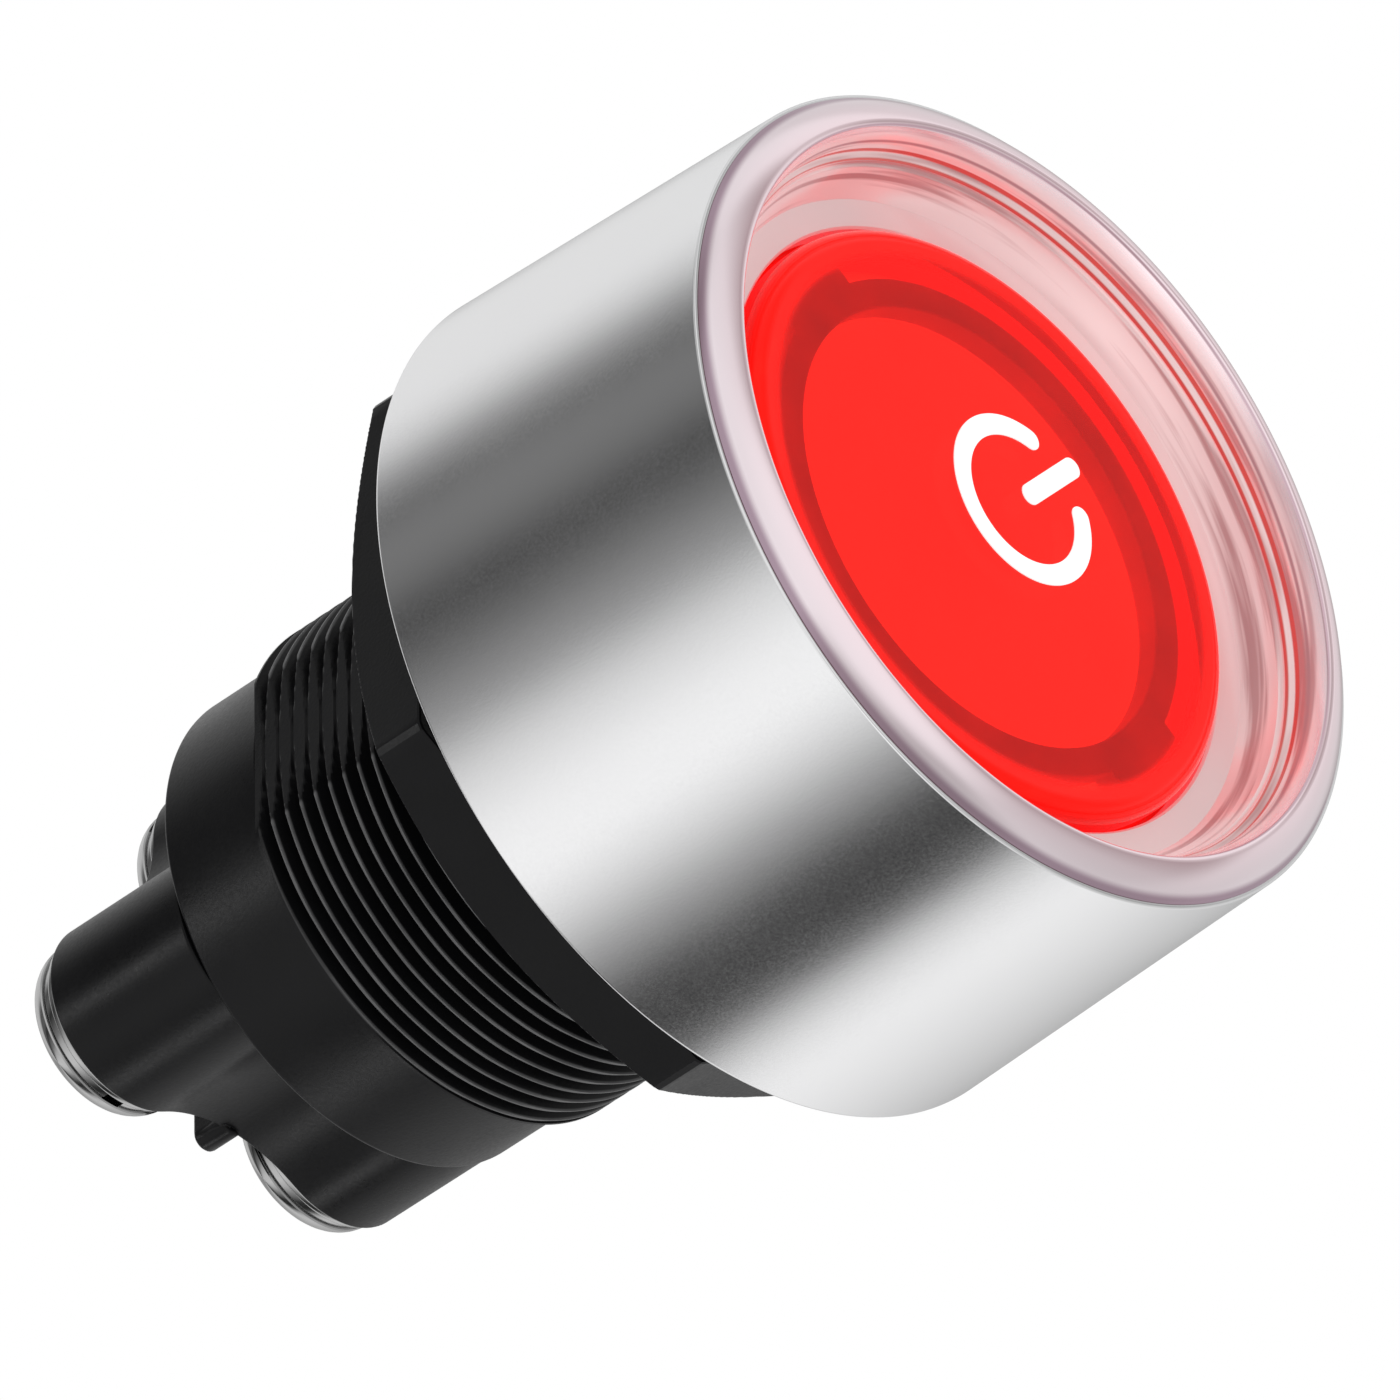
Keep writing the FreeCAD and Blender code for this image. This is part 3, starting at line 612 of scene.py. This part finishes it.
# ---- body --------------------------------------------------------------------------------
def thread_radius(z, angle):
    """Radius of the helical thread, cut by the flat that runs along it."""
    phase = ((z - THREAD_END) / THREAD_PITCH - angle / TAU) % 1
    flank = (abs(phase - 0.5) - THREAD_CREST) / (0.5 - THREAD_CREST - THREAD_VALLEY)
    ridge = 1 - min(1, max(0, flank))
    if z < THREAD_END + THREAD_COLLAR:
        ridge = 1
    radius = THREAD_ROOT + (THREAD_R - THREAD_ROOT) * ridge
    facing = math.cos(angle - FLAT_ANGLE)
    return min(radius, FLAT_DISTANCE / facing) if facing > 0.5 else radius


def barrel():
    """Cup, flange, threaded neck with its flat, and the plain lower barrel."""
    steps = 288
    bm = bmesh.new()
    cup_wall = 1.45
    outline = [(BARREL_BORE, FLANGE_TOP)]
    outline += [(BARREL_BORE, BARREL_END + 0.15), (BARREL_BORE + 0.15, BARREL_END)]
    lower = rounded([(BARREL_R - 1, BARREL_END), (BARREL_R, BARREL_END, 0.22),
                     (BARREL_R, THREAD_END - 0.05, 0.05), (BARREL_R - 1, THREAD_END - 0.05)])
    outline += lower[1:-1]
    rings = [[(*polar(r, TAU * i / steps), z) for i in range(steps)] for r, z in outline]
    rows = int((FLANGE_BOTTOM - THREAD_END) / THREAD_PITCH * 14)
    for row in range(rows + 1):
        z = THREAD_END + (FLANGE_BOTTOM - THREAD_END) * row / rows
        turn = [TAU * i / steps for i in range(steps)]
        rings.append([(*polar(thread_radius(z, a), a), z) for a in turn])
    cup = rounded([
        (THREAD_R + 0.2, FLANGE_BOTTOM), (CUP_R, FLANGE_BOTTOM, 0.15), (CUP_R, CUP_TOP, 0.15),
        (CUP_R - cup_wall, CUP_TOP, 0.15), (CUP_R - cup_wall, FLANGE_TOP, 0.4),
        (BARREL_BORE, FLANGE_TOP),
    ])
    rings += [[(*polar(r, TAU * i / steps), z) for i in range(steps)] for r, z in cup]
    add_rings(bm, rings)
    return to_object("barrel_moulded", bm, sharp=28)


def hex_radius(angle, apothem, corner):
    """Radius of a hexagon's outline whose corners are rounded by a circle about the axis."""
    turn = (angle - CLOCKING) % (TAU / 6) - TAU / 12
    return min(apothem / math.cos(turn), corner)


def hex_nut():
    """Hexagon with softened corners, a 30 degree chamfer at the rear and a plain bore."""
    corner = NUT_APOTHEM / math.cos(TAU / 12) - NUT_CORNER_LOSS
    bore, slope, edge = THREAD_R + NUT_CLEARANCE, math.tan(NUT_CHAMFER), 0.12
    steps = 720
    turn = [TAU * i / steps + CLOCKING for i in range(steps)]
    rings = [[(*polar(bore, a), z) for a in turn] for z in (NUT_TOP, NUT_BOTTOM + 0.4)]
    rings += [[(*polar(r, a), NUT_BOTTOM) for a in turn] for r in (bore + 0.4, NUT_APOTHEM)]
    chamfer = (corner - NUT_APOTHEM) * slope
    rows = 24
    for row in range(1, rows + 1):
        z = NUT_BOTTOM + chamfer * row / rows
        cone = NUT_APOTHEM + (z - NUT_BOTTOM) / slope
        rings.append([(*polar(min(cone, hex_radius(a, NUT_APOTHEM, corner)), a), z) for a in turn])
    for inset, z in ((0, NUT_TOP - edge), (0.3 * edge, NUT_TOP - 0.3 * edge), (edge, NUT_TOP)):
        rings.append([(*polar(hex_radius(a, NUT_APOTHEM, corner) - inset, a), z) for a in turn])
    rings.append(rings[0])
    bm = bmesh.new()
    add_rings(bm, rings)
    return to_object("hex_nut_moulded", bm, sharp=20)


# ---- terminal base -----------------------------------------------------------------------
def lobed_outline():
    """Three round bosses joined by concave fillets."""
    span = BOSS_R + FILLET_R
    fillet_centre = BOSS_CENTRE * math.cos(TAU / 6)
    fillet_centre += math.sqrt(span ** 2 - (BOSS_CENTRE * math.sin(TAU / 6)) ** 2)
    outline = []
    for angle in TERMINALS:
        boss = Vector(polar(BOSS_CENTRE, angle))
        before = Vector(polar(fillet_centre, angle - TAU / 6))
        after = Vector(polar(fillet_centre, angle + TAU / 6))
        following = Vector(polar(BOSS_CENTRE, angle + TAU / 3))
        start = tuple(boss + (before - boss) * BOSS_R / span)
        end = tuple(boss + (after - boss) * BOSS_R / span)
        next_start = tuple(after + (following - after) * FILLET_R / span)
        outline += arc(start, polar(BOSS_CENTRE + BOSS_R, angle), end, 40)
        outline += arc(end, polar(fillet_centre - FILLET_R, angle + TAU / 6), next_start, 24)
    return outline


def barrier_outline():
    """Three arms with round ends, between the terminals."""
    half, tip = BARRIER_HALF, BARRIER_LENGTH - BARRIER_HALF
    outline = []
    for angle in TERMINALS:
        along = angle + TAU / 6
        side = Vector(polar(half, along - TAU / 4))
        end = Vector(polar(tip, along))
        outline += [polar(2 * half / math.sqrt(3), along - TAU / 6), tuple(end + side)]
        outline += arc(tuple(end + side), polar(tip + half, along), tuple(end - side), 12)
    return outline


def combine(obj, other, operation="DIFFERENCE"):
    """Joins one mesh to another, or cuts it away, and keeps only the result."""
    boolean = obj.modifiers.new("combine", "BOOLEAN")
    boolean.object = other
    boolean.operation = operation
    boolean.solver = "EXACT"
    obj.modifiers.move(len(obj.modifiers) - 1, 0)
    other.modifiers.clear()
    bpy.context.view_layer.update()
    evaluated = obj.evaluated_get(bpy.context.evaluated_depsgraph_get())
    mesh = bpy.data.meshes.new_from_object(evaluated)
    mesh.materials.clear()
    obj.modifiers.remove(boolean)
    obj.data = mesh
    bpy.data.objects.remove(other)
    return obj


def terminal_base():
    """Lobed block with a spigot above, the barrier below and a hole for each insert."""
    base = plate("terminal_base_moulded", [lobed_outline()], BASE_END, BASE_TOP, 0.12)
    overlap, chamfer, step = 0.3, 0.3, 0.04
    barrier = plate("barrier", [barrier_outline()], BARRIER_END, BASE_END + overlap, 0.2)
    spigot = lathe("spigot", [
        (0, SPIGOT_TOP), (SPIGOT_R - chamfer, SPIGOT_TOP), (SPIGOT_R, SPIGOT_TOP - chamfer),
        (SPIGOT_R, BASE_TOP - step), (SPIGOT_ROOT_R, BASE_TOP - step),
        (SPIGOT_ROOT_R, BASE_TOP - overlap), (0, BASE_TOP - overlap)])
    combine(base, barrier, "UNION")
    combine(base, spigot, "UNION")
    for angle in TERMINALS:
        rim = circle(INSERT_HOLE_R, polar(BOSS_CENTRE, angle), 64)
        combine(base, plate("hole", [rim], BASE_END - 1, INSERT_HOLE_TOP))
    return base


def flat_washer(number, angle):
    """Stamped washer with rolled-over edges."""
    edge, bore_edge = 0.14, 0.06
    outline = rounded([
        (FLAT_WASHER_BORE, WASHER_BOTTOM, bore_edge), (FLAT_WASHER_R, WASHER_BOTTOM, edge),
        (FLAT_WASHER_R, BASE_END, edge), (FLAT_WASHER_BORE, BASE_END, bore_edge)])
    centre = polar(BOSS_CENTRE, angle)
    return lathe(f"flat_washer_{number}_plated", outline, centre, SMALL_TURN_STEPS)


def spring_washer(number, angle):
    """Split lock washer of square section, its ends a little apart."""
    half, edge, gap, steps = SPRING_WASHER_HALF, 0.1, SPRING_WASHER_GAP, 96
    section = rounded([(-half, HEAD_TOP, edge), (half, HEAD_TOP, edge),
                       (half, WASHER_BOTTOM, edge), (-half, WASHER_BOTTOM, edge)], 3)
    sweep = TAU - 2 * gap
    path = [(SPRING_WASHER_R, gap + sweep * i / steps, 0) for i in range(steps + 1)]
    bm = bmesh.new()
    add_sweep(bm, path, section)
    bmesh.ops.rotate(bm, verts=bm.verts, matrix=Matrix.Rotation(angle + TAU / 6, 3, "Z"))
    bmesh.ops.translate(bm, verts=bm.verts, vec=(*polar(BOSS_CENTRE, angle), 0))
    return to_object(f"spring_washer_{number}_plated", bm)


def terminal_screw(number, angle):
    """M4 pan-head screw with a cross recess, its shank hidden in the insert."""
    centre = polar(BOSS_CENTRE, angle)
    head_r, shank_r = SCREW_HEAD_R, SCREW_SHANK_R
    side, brow = (head_r, HEAD_TOP - 0.05), (2.5, HEAD_TOP - 1.1)
    outline = [(0, SCREW_TIP), (shank_r - 0.3, SCREW_TIP), (shank_r, SCREW_TIP - 0.3)]
    outline += [(shank_r, HEAD_TOP), (head_r - 0.05, HEAD_TOP), side]
    outline += arc(side, (3.45, HEAD_TOP - 0.62), brow, 10)
    outline += arc(brow, (1.3, HEAD_TOP - 1.35), (0, SCREW_END), 10)
    screw = lathe(f"terminal_screw_{number}_plated", outline, centre, SMALL_TURN_STEPS)
    cross = bmesh.new()
    arm, half = CROSS_ARM, CROSS_HALF
    corners = []
    for quarter in range(4):
        turn = Matrix.Rotation(-quarter * TAU / 4, 2)
        for point in ((half, half), (arm, half), (arm, -half)):
            corners.append(tuple(turn @ Vector(point)))
    low = [(x * 1.05, y * 1.05, SCREW_END - 0.2) for x, y in corners]
    high = [(x * 0.6, y * 0.8, SCREW_END + CROSS_DEPTH) for x, y in corners]
    made = add_rings(cross, [low, high])
    for ring in made:
        cross.faces.new(ring)
    bmesh.ops.rotate(cross, verts=cross.verts, matrix=Matrix.Rotation(CROSS_TURN, 3, "Z"))
    bmesh.ops.translate(cross, verts=cross.verts, vec=(*centre, 0))
    return combine(screw, to_object("cross_recess", cross))


# ---- button ------------------------------------------------------------------------------
def lens_cap():
    """Clear cup with a well-rounded rim and a stop flange under the trim ring."""
    flange_top = TRIM_UNDERSIDE - 0.3
    inner = CAP_R - CAP_WALL
    outline = rounded([
        (CAP_R, CAP_TOP, 0.8), (CAP_R, flange_top, 0.1), (CAP_FLANGE_R, flange_top, 0.15),
        (CAP_FLANGE_R, flange_top - 1.2, 0.15), (CAP_R, flange_top - 1.2, 0.1),
        (CAP_R, CAP_BOTTOM, 0.15), (inner, CAP_BOTTOM, 0.15), (inner, CAP_TOP - CAP_WALL, 0.12),
        (0, CAP_TOP - CAP_WALL), (0, CAP_TOP),
    ], 8)
    outline = [outline[-1]] + outline[:-1]
    return lathe("lens_cap_clear", outline, steps=256)


def legend():
    """Generic power symbol: an open ring with a bar in its gap."""
    centre, outer, inner = (0, LEGEND_Y), LEGEND_OUTER, LEGEND_INNER
    middle, half = (outer + inner) / 2, (outer - inner) / 2
    start, end = TAU / 4 + LEGEND_GAP, TAU / 4 + TAU - LEGEND_GAP
    steps = 96
    sweep = [start + (end - start) * i / steps for i in range(steps + 1)]
    tips = [polar(middle, a, centre) for a in (end, start)]
    ring = [polar(outer, a, centre) for a in sweep]
    ring += [polar(half, end + math.pi * (i / 12), tips[0]) for i in range(1, 12)]
    ring += [polar(inner, a, centre) for a in reversed(sweep)]
    ring += [polar(half, start + math.pi + math.pi * (i / 12), tips[1]) for i in range(1, 12)]
    low, high = LEGEND_Y + 0.65, LEGEND_Y + 0.2 + outer + 0.6 - half
    bar = [(half, low), (half, high)] + arc((half, high), (0, high + half), (-half, high), 12)
    bar += [(-half, low)] + arc((-half, low), (0, low - half), (half, low), 12)[:-1]
    return plate("legend_printed", [ring, bar], LEGEND_BOTTOM, LEGEND_TOP, 0.015)


def lens_ring():
    """Ring with two square bayonet ears."""
    outline = []
    root, tip = math.asin(EAR_HALF / RING_R), math.asin(EAR_HALF / EAR_R)
    steps = 64
    for turn in (EAR_TURN, EAR_TURN + math.pi):
        outline += [polar(EAR_R, turn - tip + 2 * tip * i / 8) for i in range(9)]
        first, last = turn + root, turn + math.pi - root
        outline += [polar(RING_R, first + (last - first) * i / steps) for i in range(steps + 1)]
    bore = circle(RING_BORE, steps=128)
    return plate("lens_ring_smoked", [outline, bore], RING_BOTTOM, RING_TOP, 0.1)


def diffuser():
    """Plain disc with rounded edges."""
    outline = rounded([(DIFFUSER_R, DIFFUSER_TOP, 0.15), (DIFFUSER_R, DIFFUSER_BOTTOM, 0.15),
                       (0, DIFFUSER_BOTTOM), (0, DIFFUSER_TOP)])
    outline = [outline[-1]] + outline[:-1]
    return lathe("diffuser_lit", outline, steps=160)


def spring(name, mean, wire, bottom, top, turns):
    """Compression coil with closed, level end turns."""
    steps_per_turn, closed = 48, 0.75
    total = turns + 2 * closed
    path = []
    for i in range(int(total * steps_per_turn) + 1):
        turn = i / steps_per_turn
        climb = min(1, max(0, (turn - closed) / turns))
        climb = climb * climb * (3 - 2 * climb) * 0.35 + climb * 0.65
        start = bottom + wire + 2 * wire * min(turn, closed) * 0.9
        rise = top - bottom - 2 * wire - 4 * wire * closed * 0.9
        end = 2 * wire * max(0, turn - closed - turns) * 0.9
        path.append((mean, turn * TAU, start + climb * rise + end))
    section = circle(wire, steps=14)
    bm = bmesh.new()
    add_sweep(bm, path, section)
    return to_object(name, bm, sharp=50)


# ---- carried-over CAD nodes --------------------------------------------------------------
def soften(node, width):
    """Keeps a CAD node's mesh and rounds its edges with modifiers."""
    obj = NODES[node]
    dress(obj, SLOT_OF[node])
    obj.modifiers.new("weld", "WELD").merge_threshold = 1e-6
    flatten = obj.modifiers.new("flatten", "DECIMATE")
    flatten.decimate_type = "DISSOLVE"
    flatten.angle_limit = math.radians(1)
    bevel = obj.modifiers.new("bevel", "BEVEL")
    bevel.width = width * MM
    bevel.segments = 2
    bevel.limit_method = "ANGLE"
    bevel.angle_limit = math.radians(40)
    bevel.harden_normals = True


# ---- studio ------------------------------------------------------------------------------
CAMERA_ELEVATION = math.radians(33.93)
CAMERA_ROLL = math.radians(57.11)
CAMERA_DISTANCE = 1.08
CAMERA_LENS = 720.7
CAMERA_OFFSET = (-0.0264 * SLEEVE_R * MM, 0.0003 * SLEEVE_R * MM)

# Soft boxes and black flags all round, in four rings: direction in degrees and brightness
STUDIO_LOW = [
    (0, 0.86), (10, 0.95), (25, 0.84), (45, 0.68), (70, 0.5), (84, 0.42), (98, 0.48), (112, 0.78),
    (150, 0.82), (160, 0.68), (172, 0.28), (182, 0.11), (190, 0.19), (200, 0.17), (212, 0.05),
    (222, 0.12), (240, 0.31), (252, 0.7), (268, 0.95), (282, 1.0), (293, 0.75), (304, 0.4),
    (320, 0.06), (332, 0.03), (342, 0.1), (351, 0.6),
]
STUDIO_LEVEL = [
    (0, 0.75), (30, 0.7), (60, 0.65), (90, 0.65), (120, 0.65), (150, 0.65), (210, 0.52),
    (240, 0.5), (270, 0.78), (300, 0.9), (330, 0.7),
]
STUDIO_RAISED = [
    (0, 0.6), (30, 0.6), (60, 0.65), (90, 0.75), (120, 0.8), (150, 0.75), (180, 0.35),
    (210, 0.3), (240, 0.6), (270, 0.95), (300, 1.1), (330, 0.85),
]
STUDIO_HIGH = [
    (0, 0.62), (40, 0.5), (62, 0.3), (80, 0.45), (100, 0.45), (118, 0.3), (150, 0.72), (180, 0.8),
    (220, 0.8), (260, 0.85), (280, 0.6), (300, 0.5), (320, 0.44), (342, 0.47),
]
OVERHEAD = 0.84


def camera():
    """Long lens above and in front of the button, rolled so that its axis lies aslant."""
    cam = bpy.data.cameras.new("camera")
    cam.lens = CAMERA_LENS
    cam.sensor_width = 36
    cam.clip_start, cam.clip_end = 0.01, 10
    obj = bpy.data.objects.new("camera", cam)
    bpy.context.scene.collection.objects.link(obj)
    back = Vector((0, -math.cos(CAMERA_ELEVATION), math.sin(CAMERA_ELEVATION)))
    level = Vector((1, 0, 0))
    upright = back.cross(level)
    right = math.cos(CAMERA_ROLL) * level + math.sin(CAMERA_ROLL) * upright
    up = back.cross(right)
    axes = Matrix((right, up, back)).transposed()
    place = back * CAMERA_DISTANCE + right * CAMERA_OFFSET[0] + up * CAMERA_OFFSET[1]
    obj.matrix_world = Matrix.Translation(place) @ axes.to_4x4()
    bpy.context.scene.camera = obj


def world():
    """Soft boxes by direction, bright overhead, and a plain white backdrop for the camera."""
    made = bpy.data.worlds.new("studio")
    bpy.context.scene.world = made
    made.use_nodes = True
    nodes, links = made.node_tree.nodes, made.node_tree.links
    nodes.clear()

    def add(kind, inputs=(), **settings):
        node = nodes.new(kind)
        for key, value in settings.items():
            setattr(node, key, value)
        for socket, value in dict(inputs).items():
            if isinstance(value, bpy.types.NodeSocket):
                links.new(value, node.inputs[socket])
            else:
                node.inputs[socket].default_value = value
        return node

    def ring(levels):
        ramp = add("ShaderNodeValToRGB", {0: wrapped})
        stops = ramp.color_ramp.elements
        for stop in stops:
            stop.color = (levels[0][1],) * 3 + (1,)
        for degrees, level in levels[1:]:
            stops.new(degrees / 360).color = (level, level, level, 1)
        return ramp.outputs[0]

    def blend(low, high, start, end):
        share = add("ShaderNodeMapRange", {
            "Value": z, "From Min": start, "From Max": end}, interpolation_type="SMOOTHSTEP")
        node = add("ShaderNodeMix", {"Factor": share.outputs[0]}, data_type="RGBA")
        links.new(low, node.inputs[6])
        if isinstance(high, float):
            node.inputs[7].default_value = (high, high, high, 1)
        else:
            links.new(high, node.inputs[7])
        return node.outputs[2]

    direction = add("ShaderNodeSeparateXYZ", {0: add("ShaderNodeTexCoord").outputs["Generated"]})
    x, y, z = direction.outputs
    angle = add("ShaderNodeMath", {0: y, 1: x}, operation="ARCTAN2").outputs[0]
    turn = add("ShaderNodeMath", {0: angle, 1: 1 / TAU}, operation="MULTIPLY").outputs[0]
    wrapped = add("ShaderNodeMath", {0: turn}, operation="FRACT").outputs[0]
    lit = blend(ring(STUDIO_LOW), ring(STUDIO_LEVEL), -0.35, -0.05)
    lit = blend(lit, ring(STUDIO_RAISED), 0.12, 0.28)
    lit = blend(lit, ring(STUDIO_HIGH), 0.42, 0.6)
    lit = blend(lit, OVERHEAD, 0.85, 0.98)
    around = add("ShaderNodeBackground", {"Color": lit})
    backdrop = add("ShaderNodeBackground", {"Color": (1, 1, 1, 1)})
    seen = add("ShaderNodeLightPath").outputs["Is Camera Ray"]
    mixed = add("ShaderNodeMixShader", {0: seen, 1: around.outputs[0], 2: backdrop.outputs[0]})
    add("ShaderNodeOutputWorld", {"Surface": mixed.outputs[0]})


def floor():
    """Plain white floor just under the screws, seen from above only."""
    bm = bmesh.new()
    bmesh.ops.create_circle(bm, cap_ends=True, segments=96, radius=0.6)
    mesh = bpy.data.meshes.new("floor")
    bm.to_mesh(mesh)
    bm.free()
    obj = bpy.data.objects.new("floor", mesh)
    obj.location.z = cad_box[0].z - 0.0002
    bpy.context.scene.collection.objects.link(obj)
    material = bpy.data.materials.new("floor")
    material.use_nodes = True
    nodes, links = material.node_tree.nodes, material.node_tree.links
    nodes.clear()
    glow = nodes.new("ShaderNodeEmission")
    clear = nodes.new("ShaderNodeBsdfTransparent")
    below = nodes.new("ShaderNodeNewGeometry")
    mixed = nodes.new("ShaderNodeMixShader")
    links.new(below.outputs["Backfacing"], mixed.inputs[0])
    links.new(glow.outputs[0], mixed.inputs[1])
    links.new(clear.outputs[0], mixed.inputs[2])
    links.new(mixed.outputs[0], nodes.new("ShaderNodeOutputMaterial").inputs[0])
    mesh.materials.append(material)
    obj.visible_diffuse = False
    obj.visible_glossy = False
    obj.visible_transmission = False
    obj.visible_shadow = False


def plastic_lights(receivers):
    """Two slim strip lights that only the black plastics receive."""
    group = bpy.data.collections.new("plastics")
    for obj in receivers:
        group.objects.link(obj)
    for name, degrees, power in (("strip_left", 230, 0.35), ("strip_right", 325, 0.35)):
        light = bpy.data.lights.new(name, "AREA")
        light.shape = "RECTANGLE"
        light.size, light.size_y = 0.06, 0.4
        light.energy = power
        obj = bpy.data.objects.new(name, light)
        tilt = math.radians(-30)
        away = Vector((*polar(math.cos(tilt), math.radians(degrees)), math.sin(tilt)))
        obj.location = away * 0.4 + Vector((0, 0, -0.01))
        obj.rotation_euler = away.to_track_quat("Z", "Y").to_euler()
        bpy.context.scene.collection.objects.link(obj)
        obj.light_linking.receiver_collection = group


# ---- the assembly ------------------------------------------------------------------------
camera()
world()
floor()

stand_for(bezel_sleeve(), "bezel_sleeve")
stand_for(trim_ring(), "trim_ring")
plastics = [
    stand_for(barrel(), "barrel", black_plastic("black_plastic_threaded", THREAD_R)),
    stand_for(hex_nut(), "hex_nut"),
    stand_for(terminal_base(), "terminal_base"),
]
for number, angle in enumerate(TERMINALS, start=1):
    stand_for(flat_washer(number, angle), f"flat_washer_{number}")
    stand_for(spring_washer(number, angle), f"spring_washer_{number}")
    stand_for(terminal_screw(number, angle), f"terminal_screw_{number}")
stand_for(lens_cap(), "lens_cap")
stand_for(legend(), "legend")
stand_for(lens_ring(), "lens_ring")
stand_for(diffuser(), "diffuser")

return_spring = stand_for(
    spring("return_spring_wound", 10.25, 0.4, *reach("return_spring")[1:], 3), "return_spring")
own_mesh(return_spring)
overtravel = stand_for(
    spring("overtravel_spring_wound", 7.5, 0.35, *reach("overtravel_spring")[1:], 2.5),
    "overtravel_spring")
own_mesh(overtravel)

for node, obj in NODES.items():
    if not obj.hide_render:
        soften(node, 0.06)
plastic_lights(plastics)

bpy.context.scene.view_settings.view_transform = "Standard"
bpy.context.scene.view_settings.look = "None"
